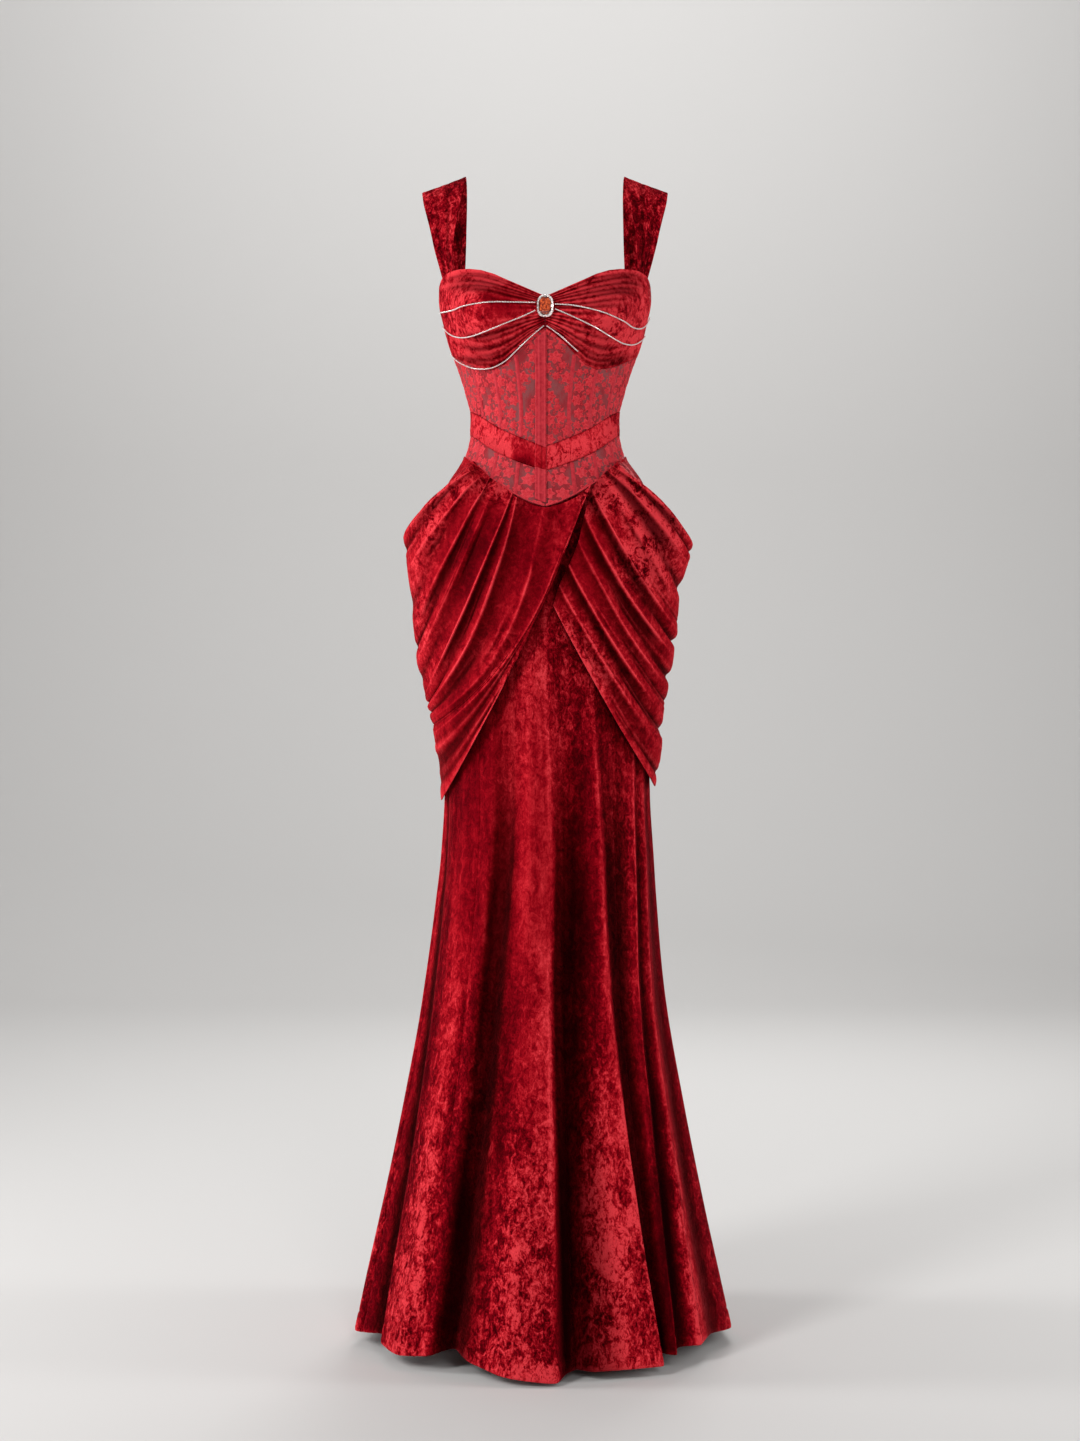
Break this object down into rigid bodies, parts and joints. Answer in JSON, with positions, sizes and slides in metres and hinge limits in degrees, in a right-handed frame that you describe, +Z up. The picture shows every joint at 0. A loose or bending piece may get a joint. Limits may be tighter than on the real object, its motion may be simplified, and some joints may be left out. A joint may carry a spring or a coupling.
{
  "type": "evening dress",
  "caption": "Floor-length crushed-velvet evening dress: gathered cups with chains and a brooch, lace corset waist, swagged hip drapes and a fluted trumpet skirt, worn hollow.",
  "frame": {"origin": "midway between the shoulders, level with the tops of the shoulder straps, where the wearer holds the dress up", "axes": "+Z up, -Y the way the wearer faces, +X the wearer's left"},
  "size_m": [0.4857, 0.4914, 1.4997],
  "materials": {
    "velvet": "crushed velvet, deep red, bright sheen in mottled patches",
    "lace": "red floral lace over dark fine mesh, matt",
    "silver": "silver-coloured setting and chains set with small clear stones",
    "crystal": "faceted amber-red crystal",
    "zip_tape": "concealed zip, matt dark red"
  },
  "bodies": {
    "root": {"back_zip": "zip_tape", "basque_back_left": "lace", "basque_back_right": "lace", "basque_front_left": "lace", "basque_front_right": "lace", "bodice_back_left": "lace", "bodice_back_right": "lace", "bodice_front_left": "lace", "bodice_front_right": "lace", "bodice_side_left": "lace", "bodice_side_right": "lace", "brooch_setting": "silver", "brooch_stone": "crystal", "chain_lower_left": "silver", "chain_lower_right": "silver", "chain_middle_left": "silver", "chain_middle_right": "silver", "chain_upper_left": "silver", "chain_upper_right": "silver", "cup_left": "velvet", "cup_right": "velvet", "drape_left": "velvet", "drape_right": "velvet", "front_placket": "lace", "skirt_back_left": "velvet", "skirt_back_right": "velvet", "skirt_front": "velvet", "skirt_side_left": "velvet", "skirt_side_right": "velvet", "strap_left": "velvet", "strap_right": "velvet", "waistband_back_left": "velvet", "waistband_back_right": "velvet", "waistband_front_left": "velvet", "waistband_front_right": "velvet"}
  },
  "joints": []
}
